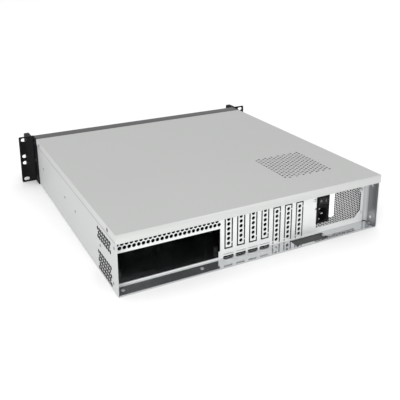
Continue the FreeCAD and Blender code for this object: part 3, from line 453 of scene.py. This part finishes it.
# painted shade: the edge faces along the supply's cut-out are dark, in place of their shade
cutFar, cutNear = edges["supplyCut"]
dressFaces(panel, supplyPaintedShade, lambda at, way: (way.x > 0.3 and cutFar < at.x < cutNear
                                               and at.y < panelFace))
smooth(panel)
print("rear panel made")

# wall bracket: painted light, a paler strip beside the panel stands in for the brighter light there
litStripWidth = 5.0 * mm
bracket = copyOf("wall_bracket", "bracketSheet")
bisect(bracket, (0, panelFace + litStripWidth, 0), (0, 1, 0), drop=False)
dress(bracket, shadedWallZinc, "case", "panel_steel", "wall_bracket")
dressFaces(bracket, litStripZinc, lambda at, way: at.y < panelFace + litStripWidth)
smooth(bracket)

# power supply: box with a fine honeycomb face
grille = {"pitch": 3.83 * mm, "web": 0.26 * mm, "thick": 0.25 * mm, "wall": 0.81 * mm,
          "moduleIn": 1.0 * mm, "skin": 0.4 * mm}


def makeCell():
    deselectAll()
    corner = grille["pitch"] / math.sqrt(3)
    bpy.ops.mesh.primitive_circle_add(vertices=6, radius=corner, fill_type="NGON")
    made = bpy.context.active_object
    bpy.ops.object.mode_set(mode="EDIT")
    bpy.ops.mesh.select_all(action="SELECT")
    bpy.ops.transform.rotate(value=math.pi / 2, orient_axis="Z", center_override=(0, 0, 0))
    bpy.ops.mesh.inset(thickness=grille["web"])
    bpy.ops.mesh.delete(type="FACE")
    bpy.ops.object.mode_set(mode="OBJECT")
    return made


def makeGrille():
    step = grille["pitch"] * math.sqrt(3) / 2
    wide, high = psuHigh.x - psuLow.x, psuHigh.z - psuLow.z
    first = makeCell()
    net = joined([first, again(first, "cell", Vector((step, grille["pitch"] / 2, 0)))], "grille")
    for count, apart in ((math.ceil(high / grille["pitch"]) + 2, (0, grille["pitch"], 0)),
                         (math.ceil(wide / step / 2) + 1, (2 * step, 0, 0))):
        applyModifier(net, "ARRAY", count=count, use_relative_offset=False,
                      use_constant_offset=True, constant_offset_displace=apart)
    net.data.transform(Matrix.Translation((psuLow.x - step / 2, psuLow.z - grille["pitch"], 0)))
    pick(net)
    bpy.ops.object.mode_set(mode="EDIT")
    bpy.ops.mesh.select_all(action="SELECT")
    bpy.ops.mesh.remove_doubles(threshold=0.05 * mm)
    bpy.ops.object.mode_set(mode="OBJECT")
    for at, way in (((psuLow.x, 0, 0), (-1, 0, 0)), ((psuHigh.x, 0, 0), (1, 0, 0)),
                    ((0, psuLow.z, 0), (0, -1, 0)), ((0, psuHigh.z, 0), (0, 1, 0))):
        bisect(net, at, way)
    inner = grille["moduleIn"]
    left, right = moduleLow.x + inner, moduleHigh.x - inner
    low, top = moduleLow.z + inner, moduleHigh.z - inner
    for at, way in (((left, 0, 0), (1, 0, 0)), ((right, 0, 0), (1, 0, 0)),
                    ((0, low, 0), (0, 1, 0)), ((0, top, 0), (0, 1, 0))):
        bisect(net, at, way, drop=False)
    for face in net.data.polygons:
        face.select = left < face.center.x < right and low < face.center.y < top
    bpy.ops.object.mode_set(mode="EDIT")
    bpy.ops.mesh.select_mode(type="FACE")
    bpy.ops.mesh.delete(type="FACE")
    bpy.ops.object.mode_set(mode="OBJECT")
    applyModifier(net, "SOLIDIFY", thickness=grille["thick"], offset=-1)
    upright = Matrix.Rotation(math.pi / 2, 4, "X")
    net.data.transform(Matrix.Translation((0, psuHigh.y - grille["thick"], 0)) @ upright)
    return net


box = copyOf("psu_housing", "supplyBox")
bisect(box, (0, psuHigh.y - grille["wall"], 0), (0, 1, 0))
dress(box, innerZinc, "case", "psu_steel", "psu_housing")
skin = grille["skin"]
# partly painted shade: the box's inner faces are dark, standing in for the shade inside and for the
# dark parts in it that are not modelled
dressFaces(box, supplyPaintedShade, lambda at, way: (psuLow.x + skin < at.x < psuHigh.x - skin
                                             and at.y > psuLow.y + skin
                                             and at.z > psuLow.z + skin))
dress(makeGrille(), supplyZinc, "case", "psu_steel")
print("supply face made")

# bowed tongues under the four tall slots
bow = {"radius": 32 * mm, "half": 8.6 * mm, "low": 5.1 * mm, "high": 2.1 * mm, "sides": 96}
deselectAll()
bpy.ops.mesh.primitive_cylinder_add(vertices=bow["sides"], radius=bow["radius"], depth=bow["high"])
strip = bpy.context.active_object
chord = math.sqrt(bow["radius"] ** 2 - bow["half"] ** 2)
bisect(strip, (0, chord, 0), (0, -1, 0), fill=True)
middle = (holes["slotX"], panelFace - chord, bow["low"] + bow["high"] / 2)
strip.data.transform(Matrix.Translation(middle))
strips = [strip]
for step in range(1, holes["tallCount"]):
    strips.append(again(strip, "tongue", Vector((-holes["slotPitch"] * step, 0, 0))))
tongues = joined(strips, "slotTongues")
smooth(tongues)
dress(tongues, panelZinc, "case", "panel_steel")

# screws with a cross recess, modelled once along +Z; shares of the head's height and width
headShape = {"crown": ((0.55, 0.93), (0.45, 0.82)), "crossWide": 0.55, "crossFloor": 0.45}


def makeScrew(wide, high, crown, name):
    deselectAll()
    bpy.ops.mesh.primitive_circle_add(vertices=32, radius=wide / 2, fill_type="NGON")
    head = bpy.context.active_object
    head.name = name
    bpy.ops.object.mode_set(mode="EDIT")
    bpy.ops.mesh.select_all(action="SELECT")
    steps = [(1 - crown, 1.0)] + [(crown * part, shrink) for part, shrink in headShape["crown"]]
    for rise, shrink in steps:
        bpy.ops.mesh.extrude_region_move(TRANSFORM_OT_translate={"value": (0, 0, high * rise)})
        bpy.ops.transform.resize(value=(shrink, shrink, 1), center_override=(0, 0, 0))
    bpy.ops.mesh.select_all(action="SELECT")
    bpy.ops.mesh.normals_make_consistent(inside=False)
    bpy.ops.object.mode_set(mode="OBJECT")
    deselectAll()
    crossWide = wide * headShape["crossWide"]
    bpy.ops.mesh.primitive_grid_add(x_subdivisions=3, y_subdivisions=3, size=crossWide)
    cross = bpy.context.active_object
    reach = crossWide / 6
    for face in cross.data.polygons:
        face.select = abs(face.center.x) > reach and abs(face.center.y) > reach
    bpy.ops.object.mode_set(mode="EDIT")
    bpy.ops.mesh.select_mode(type="FACE")
    bpy.ops.mesh.delete(type="FACE")
    bpy.ops.mesh.select_all(action="SELECT")
    bpy.ops.mesh.extrude_region_move(TRANSFORM_OT_translate={"value": (0, 0, high)})
    bpy.ops.mesh.select_all(action="SELECT")
    bpy.ops.mesh.normals_make_consistent(inside=False)
    bpy.ops.object.mode_set(mode="OBJECT")
    cross.data.transform(Matrix.Translation((0, 0, high * headShape["crossFloor"])))
    cutFrom(head, cross)
    return head


def placed(head, name, spots, spin=0.0):  # spots: place and outward way
    made = []
    for at, way in spots:
        facing = Vector(way).to_track_quat("Z", "Y").to_matrix().to_4x4()
        made.append(again(head, name, Vector(at), facing @ Matrix.Rotation(spin, 4, "Z")))
    whole = joined(made, name)
    smooth(whole, 30)
    return whole


screws = {"wide": 5.6 * mm, "flat": (0.7 * mm, 0.6), "pan": (1.6 * mm, 0.7),
          "floor": (0.8 * mm, 0.6), "supplyTurn": 0.5, "floorTurn": 0.3,
          "lidX": 215 * mm, "lidY": (-162.5 * mm, 212 * mm), "lidZ": 82 * mm,
          "earX": 216 * mm, "earY": -195 * mm, "earZ": (11 * mm, 44 * mm, 77 * mm),
          "supply": ((-109.5, 57.2), (-199.5, 57.7), (-200.4, 18.1)),
          "floorX": (203.6, 88.7, -32.0, -120.0, -211.0), "floorY": 229 * mm, "floorZ": 2.0 * mm}
flatHead = makeScrew(screws["wide"], *screws["flat"], "flatHead")
panHead = makeScrew(screws["wide"], *screws["pan"], "panHead")
floorHead = makeScrew(screws["wide"], *screws["floor"], "floorHead")
sides = ((1, (1, 0, 0)), (-1, (-1, 0, 0)))
lidSpots = [((sign * screws["lidX"], y, screws["lidZ"]), way)
            for sign, way in sides for y in screws["lidY"]]
lidScrews = placed(flatHead, "lidScrewsCross", lidSpots)
dress(lidScrews, spotGray, "case", "screw_steel", "lid_screws")
earSpots = [((sign * screws["earX"], screws["earY"], z), way)
            for sign, way in sides for z in screws["earZ"]]
earScrews = placed(flatHead, "earScrewsCross", earSpots)
dress(earScrews, blackZinc, "case", "screw_black", "ear_screws")
supplySpots = [((x * mm, panelFace, z * mm), (0, 1, 0)) for x, z in screws["supply"]]
supplyScrews = placed(panHead, "supplyScrewsCross", supplySpots, screws["supplyTurn"])
dress(supplyScrews, screwZinc, "case", "screw_steel", "psu_screws")
floorSpots = [((x * mm, screws["floorY"], screws["floorZ"]), (0, 0, 1))
              for x in screws["floorX"]]
floorScrews = placed(floorHead, "floorScrews", floorSpots, screws["floorTurn"])
dress(floorScrews, screwZinc, "case", "screw_steel")
for head in (flatHead, panHead, floorHead):
    bpy.data.objects.remove(head)

# low rivets on the side walls and in the recess
rivets = {"radius": 2.1 * mm, "high": 0.3 * mm, "edge": 0.14 * mm,
          "wallX": 214 * mm, "innerX": 212 * mm, "innerY": 229 * mm,
          "wall": ((-143.5, 43), (-1.4, 44), (57, 43.5), (175, 42.6), (233, 66.3), (224.7, 12.4)),
          "inner": (12.6, 66.0)}
rivet = disc(16, rivets["radius"], Vector((0, 0, 0)), rivets["high"], "z")
applyModifier(rivet, "BEVEL", width=rivets["edge"], segments=2, limit_method="ANGLE",
              angle_limit=math.radians(bevelAngle))
wallSpots = [((sign * rivets["wallX"], y * mm, z * mm), way)
             for sign, way in sides for y, z in rivets["wall"]]
wallRivets = placed(rivet, "wallRivets", wallSpots)
# painted shade: the wall rivets get the dark gray in place of the shade of small pits
dress(wallRivets, spotGray, "case", "tray_steel")
innerSpots = [((-rivets["innerX"], rivets["innerY"], z * mm), (1, 0, 0)) for z in rivets["inner"]]
innerRivets = placed(rivet, "innerRivets", innerSpots)
dress(innerRivets, screwZinc, "case", "screw_steel")
bpy.data.objects.remove(rivet)

# on and off marks on the rocker's two faces
marks = {"proud": 0.05 * mm, "ring": 1.7 * mm, "hole": 1.15 * mm, "barWide": 0.5 * mm,
         "barHigh": 3.4 * mm, "pivotY": 218.0 * mm, "out": 4.2 * mm,
         "offRise": 0.6 / 8.35, "onRise": 3.0 / 8.35}
rockerLow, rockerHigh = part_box("power_rocker")
rockerMid = (rockerLow + rockerHigh) / 2
offMark = disc(28, marks["ring"], Vector((0, 0, 0)), marks["proud"], "z")
cutFrom(offMark, disc(24, marks["hole"], Vector((0, 0, -marks["proud"])), 3 * marks["proud"], "z"))
deselectAll()
bpy.ops.mesh.primitive_plane_add(size=marks["barWide"])
onMark = bpy.context.active_object
bpy.ops.object.mode_set(mode="EDIT")
longer = marks["barHigh"] / marks["barWide"]
bpy.ops.transform.resize(value=(1, longer, 1), center_override=(0, 0, 0))
bpy.ops.mesh.bevel(offset=marks["barWide"] * 0.3, segments=3, affect="VERTICES")
bpy.ops.mesh.select_all(action="SELECT")
bpy.ops.mesh.extrude_region_move(TRANSFORM_OT_translate={"value": (0, 0, marks["proud"])})
bpy.ops.mesh.select_all(action="SELECT")
bpy.ops.mesh.normals_make_consistent(inside=False)
bpy.ops.object.mode_set(mode="OBJECT")
for mark, sign, rise in ((offMark, 1, marks["offRise"]), (onMark, -1, marks["onRise"])):
    slope = math.atan(rise)
    turn = Matrix.Rotation(sign * slope, 4, "Z") @ Matrix.Rotation(-math.pi / 2, 4, "X")
    out = marks["out"]
    at = Vector((rockerMid.x + sign * out, marks["pivotY"] + out * rise, rockerMid.z))
    mark.data.transform(Matrix.Translation(at) @ turn)
marked = joined([offMark, onMark], "rockerMarks")
dress(marked, markGray, "rocker", "label_paper")
print("small parts made")

# camera at the photograph's angle, from a fit of the case's own corners
view = {"place": (0.4256, 0.8778, 0.4287), "azimuth": 207.28, "elevation": -16.36, "roll": -0.24,
        "focalPixels": 599.5, "framePixels": 400.0, "shift": -0.2}
azimuth, elevation, roll = (math.radians(view[k]) for k in ("azimuth", "elevation", "roll"))
level = math.cos(elevation)
ahead = Vector((level * math.sin(azimuth), level * math.cos(azimuth), math.sin(elevation)))
right = ahead.cross(Vector((0, 0, 1))).normalized()
up = right.cross(ahead)
tiltRight = right * math.cos(roll) + up * math.sin(roll)
tiltUp = up * math.cos(roll) - right * math.sin(roll)
cameraData = bpy.data.cameras.new("photoCamera")
cameraData.sensor_width = 36
cameraData.lens = view["focalPixels"] / view["framePixels"] * cameraData.sensor_width
cameraData.shift_y = view["shift"]
cameraData.clip_start = 0.01
camera = bpy.data.objects.new("photoCamera", cameraData)
bpy.context.scene.collection.objects.link(camera)
camera.matrix_world = Matrix((
    (tiltRight.x, tiltUp.x, -ahead.x, view["place"][0]),
    (tiltRight.y, tiltUp.y, -ahead.y, view["place"][1]),
    (tiltRight.z, tiltUp.z, -ahead.z, view["place"][2]), (0, 0, 0, 1)))
bpy.context.scene.camera = camera


# pale floor, soft light; painted shade: a small dark sheet under the cut in the recess stands in
# for the shadow under the case
def makeFloor(name, size, place, colour):
    deselectAll()
    bpy.ops.mesh.primitive_plane_add(size=1, location=place)
    floor = bpy.context.active_object
    floor.name = name
    floor.scale = (*size, 1)
    settle(floor)
    material = bpy.data.materials.new(name)
    material.use_nodes = True
    shader = material.node_tree.nodes["Principled BSDF"]
    shader.inputs["Base Color"].default_value = (*colour, 1)
    shader.inputs["Roughness"].default_value = 0.9
    floor.data.materials.append(material)
    return floor


makeFloor("studioFloor", (8, 8), (0, 0, -0.4 * mm), (0.86, 0.86, 0.86))
shadeSheetPlace = (-93.5 * mm, 222 * mm, -0.2 * mm)
makeFloor("paintedShadeUnderCut", (80 * mm, 30 * mm), shadeSheetPlace, (0.07, 0.07, 0.07))

# camera and mirror rays see plain white; the light that the world gives is a little stronger
world = bpy.data.worlds.new("studio")
bpy.context.scene.world = world
world.use_nodes = True
tree = world.node_tree
background = tree.nodes["Background"]
path = tree.nodes.new("ShaderNodeLightPath")
seen = path.outputs["Is Camera Ray"]
for kind in ("Is Glossy Ray", "Is Transmission Ray"):
    either = tree.nodes.new("ShaderNodeMath")
    either.operation = "MAXIMUM"
    tree.links.new(seen, either.inputs[0])
    tree.links.new(path.outputs[kind], either.inputs[1])
    seen = either.outputs[0]
glow = {"given": 1.18, "seen": 1.0}
strength = tree.nodes.new("ShaderNodeMapRange")
strength.inputs["To Min"].default_value = glow["given"]
strength.inputs["To Max"].default_value = glow["seen"]
tree.links.new(seen, strength.inputs["Value"])
tree.links.new(strength.outputs["Result"], background.inputs["Strength"])
background.inputs["Color"].default_value = (1, 1, 1, 1)
aim = Vector((0, 0.1, 0.04))
lamps = {"key": {"place": (1.9, 2.0, 0.75), "size": 1.4, "power": 36, "mirrored": True},
         "rear": {"place": (0.75, 1.2, 0.3), "size": 0.6, "power": 7, "mirrored": False}}
for name, values in lamps.items():
    data = bpy.data.lights.new(name, "AREA")
    data.size = values["size"]
    data.energy = values["power"]
    lamp = bpy.data.objects.new(name, data)
    lamp.location = values["place"]
    lamp.visible_glossy = values["mirrored"]
    lamp.rotation_euler = (aim - Vector(values["place"])).to_track_quat("-Z", "Y").to_euler()
    bpy.context.scene.collection.objects.link(lamp)
bpy.context.scene.view_settings.view_transform = "Standard"
print("camera and light set")
